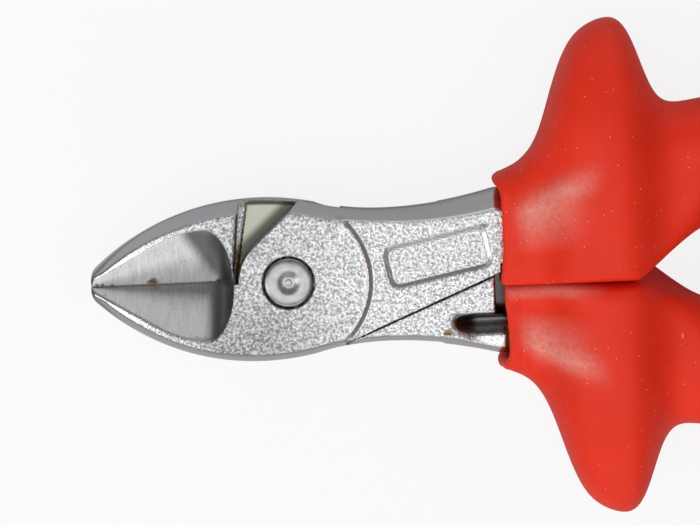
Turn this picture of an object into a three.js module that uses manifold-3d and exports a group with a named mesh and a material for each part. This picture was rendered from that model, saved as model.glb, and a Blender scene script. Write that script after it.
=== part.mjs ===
// Insulated side cutters. Two forged levers cross in a lap joint, a flush rivet holds the joint,
// and each tang carries an insulating liner under a moulded grip with a hand guard.
// Millimetres, +Z up. The origin lies on the pivot axis, on the back face of the joint.
// The tip points along -X, the grips along +X, and the front of the head looks along +Z.
// The tool is drawn shut. One half is the other turned over about X, apart from the blades.
import * as THREE from "three";
import { mergeVertices } from "three/addons/utils/BufferGeometryUtils.js";
import Module from "manifold-3d";

// Driving dimensions of the head
const overallLength = 160;
const tipToPivot = 24.4;
const headThickness = 10;
const crestHalfWidth = 10.2; // widest half width, across the jaw shoulders
const crestX = -3.5;
const tipHalfWidth = 1.913; // half width at the tip, before its corners are rounded
const neckHalfWidth = 8.3; // slimmest half width, behind the joint
const neckX = 12;
const shoulderHalfWidth = 10; // half width where the levers enter the grips
const shoulderX = 25;
const tipRounding = 0.8;
const flankInsetFront = 1.25; // how far the flanks lean in towards each face
const flankInsetBack = 0.9;
const flankInsetLimit = 0.4; // and at most, as a share of the local half width
const flankWidestShare = 0.4; // height of the widest line, as a share of the local thickness

// Driving dimensions of the blades
const taperStartX = -9; // the faces slope to the tip from here
const frontTaperRadius = 20;
const frontTaperAngle = 22;
const backTaperRadius = 40;
const backTaperAngle = 8;
const edgeDrop = 0.1; // cutting edges below the mid plane
const frontBevelAngle = 36; // rise of the ground front bevel from the edge
const backBevelAngle = 62;
const bevelEndX = -10.4; // where the grinding wheel starts to lift out
const bevelRunOut = 3.6; // length over which it lifts out
const backBevelRunOut = 2.4;
const edgeGap = 0.1; // between the shut cutting edges

// Driving dimensions of the lap joint
const jointPlay = 0.2; // between the sliding faces
const sidePlay = 0.3; // between the levers, across the face
const jawDiscRadius = 6.2; // joint disc beside the jaw of the other lever
const openingAngle = 36;
const openingMargin = 1.5; // spare turn past full opening, in degrees
const ledgeAngle = 4; // the jaw wall leans back from its foot by this turn
const jawRootAngle = 6.5; // turn that the root of the jaw takes up beside the disc
const ledgeInset = 0.3; // and stands back from it by this much
const ledgeHeight = 1.8;
const handleDiscRadius = 9.9; // joint disc beside the handle of the other lever
const handleTangentAngle = -67.6;
const sweepRadius = 10.9; // kept clear for the corner of the turning jaw
const raisedDiscRadius = 10; // proud disc round the rivet
const raisedDiscStep = 0.4;

// Driving dimensions of the rivet
const rivetHeadRadius = 3;
const rivetShaftRadius = 2.3;
const rivetHeadDepth = 0.8;
const rivetConeDepth = 0.9;
const rivetPlay = 0.1;
const rivetDishRadius = 1.65;
const rivetDishDepth = 0.3;
const rivetDishFloorShare = 0.8; // radius of its floor, as a share of the dish
const rivetPipRadius = 0.4;
const rivetPipFootShare = 1.5; // radius of the foot of the pip, as a share of its top
const rivetCrown = 0.12; // rim of the front head above the face

// Driving dimensions of the neck details
const panelLength = 12.6; // sunk bare panel on the neck
const panelWidth = 5;
const panelCorner = 1.2;
const panelDepth = 0.3;
const panelX = 18.6;
const panelY = 2.4;
const panelAngle = 11.5;
const scoopStartX = 19.4; // start of the scoop that thins the neck to the tang
const scoopEdgeY = 4.8;
const scoopCorner = 3;
const scoopDepth = 3;
const scoopSlope = 1.9; // how far its hollow side spreads on the way up
const padGap = 1.2; // the far side of a lever stops this far short of its grip
const neckInsertion = 0.9; // the near side runs this far into its grip
const neckReliefY = 1.2; // corner taken off the near side beside the other grip

// Driving dimensions of the tangs and their insulation
const tangRootClearance = 1.6; // from the root of a tang to the joint flank of the other lever
const tangMouthInset = 2.7; // from the shoulder of a lever to the middle of its tang, at the mouth
const tangGuardY = 9.8;
const tangWaistY = 12.4;
const tangBellyY = 16.7;
const tangEndY = 12.4;
const tangEndX = 126;
const tangRootHalfWidth = 2.1;
const tangMouthHalfWidth = 2.4;
const tangHalfWidth = 3.5;
const tangEndHalfWidth = 2.8;
const tangMouthHalfThickness = 1.8;
const tangHalfThickness = 3.2;
const tangSquareness = 4; // 2 is an ellipse, higher is squarer
const bondGap = 0.2; // between a tang, its liner and its grip
const linerThickness = 0.9;
const linerInset = 3.9; // the liner starts this far inside the mouth

// Driving dimensions of the grips
const mouthX = 25.5;
const mouthScallop = 1.2; // the lip stands back this much over the two faces
const mouthRise = 1.9; // outside of the mouth over the shoulder of the lever
const mouthHalfHeight = 6.8;
const lipRounding = 0.7;
const lipInnerShare = 0.7; // share of the wall outside the inner corner of the lip
const lipOuterShare = 0.4; // and outside its outer corner
const mouthWall = 1.1;
const mouthInnerWall = 0.7; // thinner beside the other grip
const pocketDepth = 1.7; // hollow for the neck, past the lip over the faces
const guardFrontX = 33.3; // middle of the steep front of the hand guard
const guardFrontEase = 1.3; // length over which it curves in and out
const guardBackX = 44.5;
const guardBackEase = 1.1;
const guardRise = 14; // height of the guard over the grip, to the outside
const guardLift = 4.8; // and above and below
const guardX = 40;
const waistX = 51.5;
const waistInnerY = 4.4;
const waistOuterY = 20.3;
const waistHalfHeight = 7.8;
const bellyX = 85;
const bellyInnerY = 9.4;
const bellyOuterY = 24.2;
const bellyHalfHeight = 8.4;
const endInnerY = 5.4;
const endOuterY = 19.4;
const endHalfHeight = 7.2;
const endRoundingLength = 9;
const endTurn = 80; // the rounding stops short of a quarter turn, at a small flat
const partingEndX = 43; // the shut grips touch up to here
const partingGap = 0.3;
const partingSlope = 0.22; // the touching faces lean, as the two necks overlap
const mouthSquareness = 4.2;
const pocketSquareness = 6;
const guardInnerSquareness = 4;
const guardSquareness = 2.4;
const bodySquareness = 2.7;

// Fineness of the curves. The steps of an arc are half its number of sides.
const roundSteps = 16; // round outlines
const cornerSteps = 5; // short arcs
const footSteps = 2; // the stub of an arc at the foot of a jaw
const wallSteps = 1; // and above it
const panelCornerSteps = 2;
const scoopSteps = 3;
const tipSteps = 3;
const headSteps = 38;
const flankFrontSteps = 4;
const flankBackSteps = 3;
const liftSteps = 8; // the grinding wheel lifting out
const rivetSides = 48;
const rootSteps = 5;
const tangSteps = 13;
const tangSides = 20;
const collarSteps = 4;
const guardFrontSteps = 8;
const guardBackSteps = 10;
const bodySteps = 8;
const endSteps = 5;
const gripSides = 28;

// Values worked out from the driving dimensions
const midZ = headThickness / 2;
const faceMouthX = mouthX + mouthScallop;
const padEndX = faceMouthX - padGap;
const neckEndX = faceMouthX + neckInsertion;
const linerStartX = mouthX + linerInset;
const edgeZ = midZ - edgeDrop;
const jawTangentAngle = 180 - openingAngle - openingMargin - ledgeAngle - jawRootAngle;
const mouthOuterY = shoulderHalfWidth + mouthRise;
const tangMouthY = shoulderHalfWidth - tangMouthInset;
const endX = overallLength - tipToPivot;
const gripBodyEndX = endX - endRoundingLength;
const tipDrop = crestHalfWidth - tipHalfWidth;
const outlineRadius = ((tipToPivot + crestX) ** 2 + tipDrop ** 2) / (2 * tipDrop);
const beyond = overallLength; // safely outside the tool
const overcut = 1; // a cutter stands this far past the surface it opens
const radians = THREE.MathUtils.degToRad;

const wasm = await Module();
wasm.setup();

// A closed geometry as a solid that can be joined and cut.
function solidFrom(geometry) {
  const bare = geometry.clone();
  bare.deleteAttribute("normal");
  bare.deleteAttribute("uv");
  const merged = mergeVertices(bare, 1e-4);
  const mesh = new wasm.Mesh({
    numProp: 3,
    vertProperties: merged.attributes.position.array,
    triVerts: new Uint32Array(merged.index.array),
  });
  return new wasm.Manifold(mesh);
}

function geometryFrom(solid) {
  const mesh = solid.getMesh();
  const geometry = new THREE.BufferGeometry();
  geometry.setAttribute("position", new THREE.BufferAttribute(mesh.vertProperties, 3));
  geometry.setIndex(new THREE.BufferAttribute(mesh.triVerts, 1));
  geometry.computeVertexNormals();
  return geometry;
}

// The same shape on the other half: turned over about the long axis of the tool.
const turnedOver = (geometry) => geometry.clone().rotateX(Math.PI).translate(0, 0, headThickness);
const turnedOverSolid = (solid) => solidFrom(turnedOver(geometryFrom(solid)));

// A closed skin over rings of equal count, each ring running from +Y towards +Z.
function loft(rings) {
  const count = rings[0].length;
  const points = rings.flat();
  const faces = [];
  for (let row = 0; row + 1 < rings.length; row += 1) {
    for (let i = 0; i < count; i += 1) {
      const a = row * count + i;
      const b = row * count + ((i + 1) % count);
      faces.push(a, b, b + count, a, b + count, a + count);
    }
  }
  const middleOf = (ring) =>
    ring.reduce((sum, point) => sum.add(point), new THREE.Vector3()).divideScalar(count);
  const first = points.push(middleOf(rings[0])) - 1;
  const last = points.push(middleOf(rings.at(-1))) - 1;
  const lastRow = (rings.length - 1) * count;
  for (let i = 0; i < count; i += 1) {
    const next = (i + 1) % count;
    faces.push(first, next, i);
    faces.push(last, lastRow + i, lastRow + next);
  }
  const geometry = new THREE.BufferGeometry().setFromPoints(points);
  geometry.setIndex(faces);
  geometry.computeVertexNormals();
  return geometry;
}

// A flat outline raised between two heights, each of its arcs cut into twice this many steps.
function prism(shape, low, high, curveSegments = cornerSteps) {
  const options = { depth: high - low, bevelEnabled: false, curveSegments };
  return solidFrom(new THREE.ExtrudeGeometry(shape, options).translate(0, 0, low));
}

// A smooth function of x through stations [x, value], which never overshoots them.
function through(...stations) {
  const rise = stations.slice(1).map(([x, value], i) => (value - stations[i][1]) / (x - stations[i][0]));
  const slope = stations.map((_, i) => {
    const before = rise[i - 1] ?? rise[i];
    const after = rise[i] ?? before;
    return before * after > 0 ? (2 * before * after) / (before + after) : 0;
  });
  return (x) => {
    const clamped = THREE.MathUtils.clamp(x, stations[0][0], stations.at(-1)[0]);
    const i = stations.slice(0, -1).findLastIndex(([start]) => start <= clamped);
    const [x0, y0] = stations[i];
    const [x1, y1] = stations[i + 1];
    const t = (clamped - x0) / (x1 - x0);
    const pull = (x1 - x0) * t * (1 - t);
    const ease = t * t * (3 - 2 * t);
    return y0 + (y1 - y0) * ease + pull * ((1 - t) * slope[i] - t * slope[i + 1]);
  };
}

// Evenly spaced values from start to end, both included.
const spaced = (start, end, count) =>
  Array.from({ length: count + 1 }, (_, i) => start + ((end - start) * i) / count);

// Half width of the shut head, seen from the front: one outer arc and two hollow neck arcs.
function outlineHalfWidth(x) {
  const hollowRise = neckHalfWidth - crestHalfWidth + outlineRadius;
  const toNeck = neckX - crestX;
  const hollowRadius =
    (toNeck ** 2 + hollowRise ** 2 - outlineRadius ** 2) / (2 * (outlineRadius - hollowRise));
  const turnX = crestX + (toNeck * outlineRadius) / (outlineRadius + hollowRadius);
  if (x <= turnX) {
    const arc = crestHalfWidth - outlineRadius + Math.sqrt(outlineRadius ** 2 - (x - crestX) ** 2);
    const fromTip = Math.min(x + tipToPivot, tipRounding) / tipRounding;
    return arc - tipRounding * (1 - Math.sqrt(1 - (1 - fromTip) ** 2));
  }
  const shoulderRise = shoulderHalfWidth - neckHalfWidth;
  const shoulderRadius = ((shoulderX - neckX) ** 2 + shoulderRise ** 2) / (2 * shoulderRise);
  const radius = x <= neckX ? hollowRadius : shoulderRadius;
  const fromNeck = Math.min(x, shoulderX) - neckX;
  return neckHalfWidth + radius - Math.sqrt(radius ** 2 - fromNeck ** 2);
}

// How far a face has sloped down at x: a round start, then straight to the tip.
function taperDrop(x, radius, angle) {
  const distance = Math.max(0, taperStartX - x);
  const roundLength = radius * Math.sin(radians(angle));
  const round = Math.min(distance, roundLength);
  return radius - Math.sqrt(radius ** 2 - round ** 2) + (distance - round) * Math.tan(radians(angle));
}

// Both levers shut, as one blank: flanks that lean in towards the two faces.
function headBlank() {
  const roundedX = -tipToPivot + tipRounding;
  const tipStations = spaced(-tipToPivot, roundedX, tipSteps).slice(0, -1);
  const stations = [...tipStations, ...spaced(roundedX, neckEndX, headSteps)];
  const rings = stations.map((x) => {
    const half = outlineHalfWidth(x);
    const flankY = (inset, share) => half - Math.min(inset, half * flankInsetLimit) * share ** 2;
    const front = headThickness - taperDrop(x, frontTaperRadius, frontTaperAngle);
    const back = taperDrop(x, backTaperRadius, backTaperAngle);
    const widest = THREE.MathUtils.lerp(back, front, flankWidestShare);
    const flank = [];
    for (let i = flankBackSteps; i > 0; i -= 1) {
      const share = i / flankBackSteps;
      flank.push([flankY(flankInsetBack, share), widest - (widest - back) * share]);
    }
    for (let i = 0; i <= flankFrontSteps; i += 1) {
      const share = i / flankFrontSteps;
      flank.push([flankY(flankInsetFront, share), widest + (front - widest) * share]);
    }
    const mirrored = flank.map(([y, z]) => [-y, z]).reverse();
    return [...flank, ...mirrored].map(([y, z]) => new THREE.Vector3(x, y, z));
  });
  return solidFrom(loft(rings));
}

// The V that the grinding wheel leaves along the edges. side is 1 on the front, -1 on the back.
function groundValley(side, angle, runOut) {
  const face = side > 0 ? headThickness : 0;
  const reach = headThickness;
  const halfReach = reach / Math.tan(radians(angle));
  const path = [[-beyond, edgeZ]];
  for (let i = 0; i <= liftSteps; i += 1) {
    const turn = (i / liftSteps) * (Math.PI / 2);
    path.push([bevelEndX + runOut * Math.sin(turn), face + (edgeZ - face) * Math.cos(turn)]);
  }
  path.at(-1)[1] += side * overcut;
  const rings = path.map(([x, z]) => [
    new THREE.Vector3(x, 0, z),
    new THREE.Vector3(x, side * halfReach, z + side * reach),
    new THREE.Vector3(x, -side * halfReach, z + side * reach),
  ]);
  return solidFrom(loft(rings));
}

// The face behind the proud disc, cut down by one step.
function neckStep() {
  const shape = new THREE.Shape();
  shape.moveTo(0, raisedDiscRadius);
  shape.absarc(0, 0, raisedDiscRadius, Math.PI / 2, -Math.PI / 2, true);
  shape.lineTo(0, -beyond);
  shape.lineTo(beyond, -beyond);
  shape.lineTo(beyond, beyond);
  shape.lineTo(0, beyond);
  return prism(shape, headThickness - raisedDiscStep, headThickness + beyond, roundSteps);
}

// The sunk bare panel, lying along the neck.
function neckPanel() {
  const x = panelLength / 2 - panelCorner;
  const y = panelWidth / 2 - panelCorner;
  const shape = new THREE.Shape();
  shape.absarc(x, -y, panelCorner, -Math.PI / 2, 0, false);
  shape.absarc(x, y, panelCorner, 0, Math.PI / 2, false);
  shape.absarc(-x, y, panelCorner, Math.PI / 2, Math.PI, false);
  shape.absarc(-x, -y, panelCorner, Math.PI, Math.PI * 1.5, false);
  const options = { depth: beyond, bevelEnabled: false, curveSegments: panelCornerSteps };
  const cutter = new THREE.ExtrudeGeometry(shape, options);
  const floor = headThickness - raisedDiscStep - panelDepth;
  return solidFrom(cutter.rotateZ(radians(panelAngle)).translate(panelX, panelY, floor));
}

// The hollow scoop that thins the far lever beside the mouth of its grip.
function neckScoop() {
  const cornerX = scoopStartX + scoopCorner;
  const cornerY = -scoopEdgeY - scoopCorner;
  const shape = new THREE.Shape();
  shape.moveTo(beyond, -beyond);
  shape.lineTo(beyond, -scoopEdgeY);
  shape.absarc(cornerX, cornerY, scoopCorner, Math.PI / 2, Math.PI, false);
  shape.lineTo(scoopStartX, -beyond);
  const options = {
    depth: beyond,
    bevelThickness: scoopDepth,
    bevelSize: scoopSlope,
    bevelOffset: -scoopSlope,
    bevelSegments: scoopSteps,
    curveSegments: cornerSteps,
  };
  return solidFrom(new THREE.ExtrudeGeometry(shape, options).translate(0, 0, headThickness));
}

// Outline of the jaw side: left of a disc and of the straight flank that leaves it.
function jawSide(radius, tangentAngle, edgeY) {
  const tangent = radians(tangentAngle);
  const touch = new THREE.Vector2(radius * Math.cos(tangent), radius * Math.sin(tangent));
  const shape = new THREE.Shape();
  shape.moveTo(-beyond, beyond);
  shape.lineTo(-beyond, edgeY);
  shape.absarc(0, 0, radius, Math.PI - Math.asin(edgeY / radius), tangent, true);
  shape.lineTo(touch.x + beyond * Math.sin(tangent), touch.y - beyond * Math.cos(tangent));
  return shape;
}

// Height at x of the straight flank that leaves the joint disc beside the handle of the other lever.
function handleFlankY(x, radius) {
  const tangent = radians(handleTangentAngle);
  return (radius - x * Math.cos(tangent)) / Math.sin(tangent);
}

// Outline of the handle side: below that flank. The flank ends at flankEndX, where the outline steps
// to the points that follow.
function handleSide(radius, flankEndX, ...following) {
  const startX = radius * Math.cos(radians(handleTangentAngle));
  const shape = new THREE.Shape();
  shape.moveTo(startX, handleFlankY(startX, radius));
  shape.lineTo(flankEndX, handleFlankY(flankEndX, radius));
  following.forEach(([x, y]) => shape.lineTo(x, y));
  shape.lineTo(startX, -beyond);
  return shape;
}

function sweptDisc() {
  const shape = new THREE.Shape();
  shape.absarc(0, 0, sweepRadius, 0, Math.PI * 2, false);
  return prism(shape, -beyond, beyond, roundSteps);
}

// Space that one lever may fill. It owns the near half of the thickness, less the jaw and the handle
// of the other lever, and reaches through to the far half only at its own jaw and handle.
function nearSpace() {
  const low = midZ + jointPlay / 2;
  const slab = new THREE.BoxGeometry(2 * beyond, 2 * beyond, beyond).translate(0, 0, low + beyond / 2);
  const otherJaw = prism(jawSide(jawDiscRadius, jawTangentAngle, -edgeGap / 2), 0, 2 * beyond);
  const reliefX = faceMouthX - sidePlay;
  const relief = [[reliefX, neckReliefY], [beyond, neckReliefY], [beyond, -beyond]];
  const otherHandle = prism(handleSide(handleDiscRadius, reliefX, ...relief), 0, 2 * beyond);
  return solidFrom(slab).subtract(otherJaw).subtract(otherHandle);
}

function farSpace() {
  const low = midZ - ledgeHeight;
  const openTangent = jawTangentAngle + openingAngle + openingMargin;
  const footRadius = jawDiscRadius + sidePlay;
  const footShape = jawSide(footRadius, openTangent, edgeGap / 2);
  const wallShape = jawSide(footRadius + ledgeInset, openTangent + ledgeAngle, edgeGap / 2);
  const handleShape = handleSide(handleDiscRadius + sidePlay, padEndX, [padEndX, -beyond]);
  const foot = prism(footShape, low, midZ + ledgeHeight, footSteps);
  const wall = prism(wallShape, low, beyond, wallSteps);
  const handle = prism(handleShape, low, beyond).subtract(sweptDisc());
  const ownSide = handle.trimByPlane([0, -1, 0], sidePlay / 2);
  return foot.add(wall).add(ownSide);
}

// Centre line of the upper tang, its half width and its half thickness.
const rootFlankY = -handleFlankY(scoopStartX, handleDiscRadius);
const tangRootY = rootFlankY + tangRootClearance + tangRootHalfWidth;
const spine = through(
  [scoopStartX, tangRootY],
  [mouthX, tangMouthY],
  [guardX, tangGuardY],
  [waistX, tangWaistY],
  [bellyX, tangBellyY],
  [tangEndX, tangEndY],
);
const tangWidth = through(
  [scoopStartX, tangRootHalfWidth],
  [mouthX, tangMouthHalfWidth],
  [guardX, tangHalfWidth],
  [bellyX, tangHalfWidth],
  [tangEndX, tangEndHalfWidth],
);
const tangThickness = through([faceMouthX, tangMouthHalfThickness], [guardX, tangHalfThickness]);

// A rounded ring at x round a centre, with its own reach and squareness inwards and outwards.
// Its inner side may lean over.
function roundedRing(x, centre, { inner, outer, height, innerSquare, outerSquare, lean = 0 }, sides) {
  return Array.from({ length: sides }, (_, i) => {
    const turn = (2 * Math.PI * i) / sides;
    const inwards = Math.cos(turn) < 0;
    const power = 2 / (inwards ? innerSquare : outerSquare);
    const across = Math.abs(Math.cos(turn)) ** power;
    const up = height * Math.sign(Math.sin(turn)) * Math.abs(Math.sin(turn)) ** power;
    const y = inwards ? centre - (inner + lean * up) * across : centre + outer * across;
    return new THREE.Vector3(x, y, midZ + up);
  });
}

// Rings of the upper tang, swollen by an allowance all round.
function tangRings(stations, allowance, sides = tangSides) {
  return stations.map((x) => {
    const half = tangWidth(x) + allowance;
    const height = tangThickness(x) + allowance;
    const square = tangSquareness;
    const section = { inner: half, outer: half, height, innerSquare: square, outerSquare: square };
    return roundedRing(x, spine(x), section, sides);
  });
}

const tangStations = spaced(linerStartX, tangEndX, tangSteps);

function upperTang() {
  const stations = [...spaced(scoopStartX, linerStartX, rootSteps).slice(0, -1), ...tangStations];
  return solidFrom(loft(tangRings(stations, 0)));
}

// A lever is the blank inside its space, joined to its tang, with the hole for the rivet.
function leverGeometry(blank, space, tang) {
  return geometryFrom(blank.intersect(space).add(tang).subtract(rivetHole()));
}

// Profile of the rivet, from the foot of its axis to the pip in its front head.
function rivetProfile(play) {
  const head = rivetHeadRadius + play;
  const shaft = rivetShaftRadius + play;
  const coneEnd = rivetHeadDepth + rivetConeDepth;
  const upper = headThickness;
  return [
    [head, 0],
    [head, rivetHeadDepth],
    [shaft, coneEnd],
    [shaft, upper - coneEnd],
    [head, upper - rivetHeadDepth],
    [head, upper],
  ];
}

const lathe = (profile) =>
  new THREE.LatheGeometry(
    profile.map(([radius, height]) => new THREE.Vector2(radius, height)),
    rivetSides,
  ).rotateX(Math.PI / 2);

function rivetHole() {
  const profile = rivetProfile(rivetPlay);
  const [mouth] = profile[0];
  const foot = -overcut;
  const top = headThickness + overcut;
  return solidFrom(lathe([[0, foot], [mouth, foot], ...profile, [mouth, top], [0, top]]));
}

function rivetGeometry() {
  const face = headThickness;
  const rimTop = face + rivetCrown;
  const crownRadius = (rivetHeadRadius + rivetDishRadius) / 2;
  const dishFloor = rimTop - rivetDishDepth;
  return lathe([
    [0, 0],
    ...rivetProfile(0).slice(0, -1),
    [rivetHeadRadius, face - rivetCrown],
    [(rivetHeadRadius + crownRadius) / 2, face + rivetCrown / 2],
    [crownRadius, rimTop],
    [rivetDishRadius, rimTop - rivetCrown / 2],
    [rivetDishRadius * rivetDishFloorShare, dishFloor],
    [rivetPipRadius * rivetPipFootShare, dishFloor],
    [rivetPipRadius, rimTop - rivetDishDepth / 2],
    [0, rimTop - rivetDishDepth / 2],
  ]);
}

// The blind sleeve that insulates a tang under its grip.
function linerGeometry() {
  const inner = tangRings(tangStations, bondGap).reverse();
  const outer = tangRings(tangStations, bondGap + linerThickness);
  inner[0].forEach((point) => point.setX(tangEndX + bondGap));
  outer.at(-1).forEach((point) => point.setX(tangEndX + bondGap + linerThickness));
  return loft([...inner, ...outer]);
}

// The hand guard along the grip: 0 clear of it, 1 at its rim.
function guardShare(x) {
  const ease = (distance, length) => 1 / (1 + Math.exp(-distance / length));
  return ease(x - guardFrontX, guardFrontEase) * ease(guardBackX - x, guardBackEase);
}

// Reach of the upper grip without its guard: its outer edge, its inner edge and its half height.
const bodyOuter = through(
  [mouthX, mouthOuterY],
  [waistX, waistOuterY],
  [bellyX, bellyOuterY],
  [gripBodyEndX, endOuterY],
);
const bodyInner = through(
  [partingEndX, partingGap / 2],
  [waistX, waistInnerY],
  [bellyX, bellyInnerY],
  [gripBodyEndX, endInnerY],
);
const bodyHeight = through(
  [mouthX, mouthHalfHeight],
  [waistX, waistHalfHeight],
  [bellyX, bellyHalfHeight],
  [gripBodyEndX, endHalfHeight],
);
const partingLean = through([partingEndX, partingSlope], [waistX, 0]);

// How square the skin is, beside the other grip and on the outside.
const innerSquareness = through(
  [mouthX, mouthSquareness],
  [guardX, guardInnerSquareness],
  [waistX, bodySquareness],
);
const outerSquareness = through(
  [mouthX, mouthSquareness],
  [guardX, guardSquareness],
  [waistX, bodySquareness],
);

// One ring of the skin at x, with the section that belongs to sectionX, drawn in towards its centre.
function skinRing(x, sectionX = x, scale = 1) {
  const centre = spine(sectionX);
  const guard = guardShare(sectionX);
  const section = {
    inner: scale * (centre - bodyInner(sectionX)),
    outer: scale * (bodyOuter(sectionX) + guardRise * guard - centre),
    height: scale * (bodyHeight(sectionX) + guardLift * guard),
    innerSquare: innerSquareness(sectionX),
    outerSquare: outerSquareness(sectionX),
    lean: partingLean(sectionX),
  };
  return scalloped(roundedRing(x, centre, section, gripSides));
}

// One ring of the pocket in the mouth, with a share of the wall left round it.
function pocketRing(x, wallShare) {
  const section = {
    inner: tangMouthY - partingGap / 2 - mouthInnerWall * wallShare,
    outer: mouthOuterY - tangMouthY - mouthWall * wallShare,
    height: mouthHalfHeight - mouthWall * wallShare,
    innerSquare: pocketSquareness,
    outerSquare: pocketSquareness,
    lean: partingSlope,
  };
  return scalloped(roundedRing(x, tangMouthY, section, gripSides));
}

// The mouth stands back over the faces of the neck. This fades out along the collar.
function scalloped(ring) {
  const fadeEndX = guardFrontX;
  return ring.map((point, i) => {
    const outwards = Math.max(0, Math.cos((2 * Math.PI * i) / ring.length));
    const fade = THREE.MathUtils.clamp((fadeEndX - point.x) / (fadeEndX - mouthX), 0, 1);
    return point.setX(point.x + mouthScallop * (1 - outwards ** 2) * fade);
  });
}

// The moulded grip: a bore for the lined tang, a pocket for the neck, a round lip, and the skin with
// its guard, closed by a rounded end.
function gripGeometry() {
  const boreAllowance = 2 * bondGap + linerThickness;
  const bore = tangRings(tangStations.toReversed(), boreAllowance, gripSides);
  bore[0].forEach((point) => point.setX(tangEndX + boreAllowance));
  const lipEndX = mouthX + lipRounding;
  const pocket = [pocketRing(mouthX + pocketDepth, 1), pocketRing(lipEndX, 1)];
  const lip = [pocketRing(mouthX, lipInnerShare), pocketRing(mouthX, lipOuterShare)];
  const guardFootX = guardFrontX - 2 * guardFrontEase;
  const guardRimX = guardFrontX + 3 * guardFrontEase;
  const skinStations = [
    ...spaced(lipEndX, guardFootX, collarSteps).slice(0, -1),
    ...spaced(guardFootX, guardRimX, guardFrontSteps).slice(0, -1),
    ...spaced(guardRimX, waistX, guardBackSteps).slice(0, -1),
    ...spaced(waistX, gripBodyEndX, bodySteps),
  ];
  const skin = skinStations.map((x) => skinRing(x));
  const lastTurn = radians(endTurn);
  const end = spaced(0, lastTurn, endSteps).slice(1).map((turn) => {
    const x = gripBodyEndX + (endRoundingLength * Math.sin(turn)) / Math.sin(lastTurn);
    return skinRing(x, gripBodyEndX, Math.cos(turn));
  });
  return loft([...bore, ...pocket, ...lip, ...skin, ...end]);
}

// Finishes
const forgedSteel = { color: 0xc4c6c9, metalness: 1, roughness: 0.38 };
const polishedSteel = { color: 0xcfd1d4, metalness: 1, roughness: 0.2 };
const redGrip = { color: 0xd5321f, metalness: 0, roughness: 0.5 };
const yellowLiner = { color: 0xe8c43a, metalness: 0, roughness: 0.6 };

function named(name, geometry, finish) {
  const mesh = new THREE.Mesh(geometry, new THREE.MeshStandardMaterial(finish));
  mesh.name = name;
  return mesh;
}

// The head
const panel = neckPanel();
const step = neckStep();
const scoop = neckScoop();
const blank = [panel, step, scoop].reduce(
  (solid, cut) => solid.subtract(cut).subtract(turnedOverSolid(cut)),
  headBlank()
    .subtract(groundValley(1, frontBevelAngle, bevelRunOut))
    .subtract(groundValley(-1, backBevelAngle, backBevelRunOut)),
);
const near = nearSpace();
const far = farSpace();
const tang = upperTang();
const frontLever = leverGeometry(blank, near.add(turnedOverSolid(far)), tang);
const rearLever = leverGeometry(blank, turnedOverSolid(near).add(far), turnedOverSolid(tang));

// The tool, as two halves that turn on the rivet
const frontHalf = new THREE.Group();
frontHalf.add(named("front_lever", frontLever, forgedSteel));
frontHalf.add(named("pivot_rivet", rivetGeometry(), polishedSteel));
frontHalf.add(named("upper_liner", linerGeometry(), yellowLiner));
frontHalf.add(named("upper_grip", gripGeometry(), redGrip));

// The lower insulation is the upper, turned over
const lowerInsulation = new THREE.Group();
lowerInsulation.add(named("lower_liner", linerGeometry(), yellowLiner));
lowerInsulation.add(named("lower_grip", gripGeometry(), redGrip));
lowerInsulation.rotation.x = Math.PI;
lowerInsulation.position.z = headThickness;

const rearHalf = new THREE.Group();
rearHalf.add(named("rear_lever", rearLever, forgedSteel));
rearHalf.add(lowerInsulation);

const sideCutters = new THREE.Group();
sideCutters.add(frontHalf, rearHalf);

export default sideCutters;
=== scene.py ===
"""Insulated side cutters: the looks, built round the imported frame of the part."""

import math
from itertools import product

import bpy
import numpy as np
from mathutils import Matrix, Vector, noise


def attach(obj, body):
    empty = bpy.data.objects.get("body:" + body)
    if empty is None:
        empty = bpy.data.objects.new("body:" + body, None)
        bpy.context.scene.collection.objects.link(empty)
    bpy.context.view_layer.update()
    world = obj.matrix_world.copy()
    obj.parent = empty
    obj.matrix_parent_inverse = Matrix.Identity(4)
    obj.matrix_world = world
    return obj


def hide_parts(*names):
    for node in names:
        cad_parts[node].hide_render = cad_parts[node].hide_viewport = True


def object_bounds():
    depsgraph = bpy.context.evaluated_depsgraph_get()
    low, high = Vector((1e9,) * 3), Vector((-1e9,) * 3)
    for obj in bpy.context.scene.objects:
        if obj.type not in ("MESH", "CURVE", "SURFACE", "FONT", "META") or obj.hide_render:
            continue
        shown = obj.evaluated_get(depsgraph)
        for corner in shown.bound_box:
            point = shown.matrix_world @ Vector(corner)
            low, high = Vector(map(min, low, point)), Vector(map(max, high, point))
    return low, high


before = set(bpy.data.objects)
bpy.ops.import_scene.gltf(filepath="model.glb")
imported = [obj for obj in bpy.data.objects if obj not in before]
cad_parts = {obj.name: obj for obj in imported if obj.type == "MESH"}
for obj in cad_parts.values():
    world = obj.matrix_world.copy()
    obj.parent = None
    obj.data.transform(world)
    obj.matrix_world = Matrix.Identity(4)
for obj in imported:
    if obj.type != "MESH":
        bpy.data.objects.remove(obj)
cad_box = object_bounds()

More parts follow.
